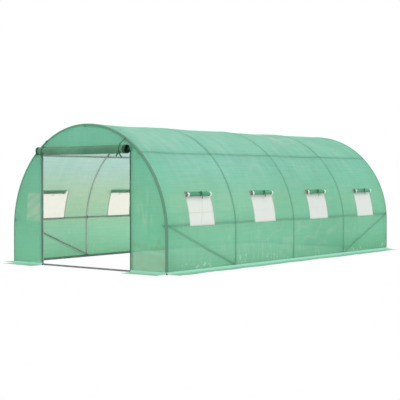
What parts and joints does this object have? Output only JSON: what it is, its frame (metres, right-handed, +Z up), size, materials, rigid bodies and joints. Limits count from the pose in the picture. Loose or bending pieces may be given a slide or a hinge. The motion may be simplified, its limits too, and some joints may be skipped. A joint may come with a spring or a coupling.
{
  "type": "polytunnel greenhouse",
  "caption": "Walk-in polytunnel: round tube hoops and purlins under a sewn green cover, rolled-up door, netted side windows with rolled flaps, and flaps that lie on the ground.",
  "frame": {"origin": "on the ground, under the middle of the ridge", "axes": "+Y along the ridge from the doorway to the rear, +Z up, +X to the right seen from the doorway"},
  "size_m": [3.4046, 6.4046, 2.0223],
  "materials": {
    "tube_steel": "galvanised, dull",
    "cover_cloth": "woven, half see-through",
    "window_net": "fine woven net",
    "rolled_cloth": "woven, rolled",
    "tie_tape": "woven tape"
  },
  "bodies": {
    "root": {"door_roll": "rolled_cloth", "door_ties": "tie_tape", "front_header": "tube_steel", "front_posts": "tube_steel", "front_sill_tube": "tube_steel", "left_base_rail": "tube_steel", "left_braces": "tube_steel", "left_crown_tubes": "tube_steel", "left_front_cloth": "cover_cloth", "left_front_flap": "cover_cloth", "left_legs": "tube_steel", "left_lower_purlin": "tube_steel", "left_roof_cloth": "cover_cloth", "left_shoulder_purlin": "tube_steel", "left_side_cloth": "cover_cloth", "left_side_flap": "cover_cloth", "left_side_tubes": "tube_steel", "left_window_nets": "window_net", "left_window_rolls": "rolled_cloth", "left_window_ties": "tie_tape", "over_door_cloth": "cover_cloth", "rear_cloth": "cover_cloth", "rear_flap": "cover_cloth", "rear_header": "tube_steel", "rear_posts": "tube_steel", "rear_sill_tube": "tube_steel", "ridge_purlin": "tube_steel", "right_base_rail": "tube_steel", "right_braces": "tube_steel", "right_crown_tubes": "tube_steel", "right_front_cloth": "cover_cloth", "right_front_flap": "cover_cloth", "right_legs": "tube_steel", "right_lower_purlin": "tube_steel", "right_roof_cloth": "cover_cloth", "right_shoulder_purlin": "tube_steel", "right_side_cloth": "cover_cloth", "right_side_flap": "cover_cloth", "right_side_tubes": "tube_steel", "right_window_nets": "window_net", "right_window_rolls": "rolled_cloth", "right_window_ties": "tie_tape"}
  },
  "joints": []
}
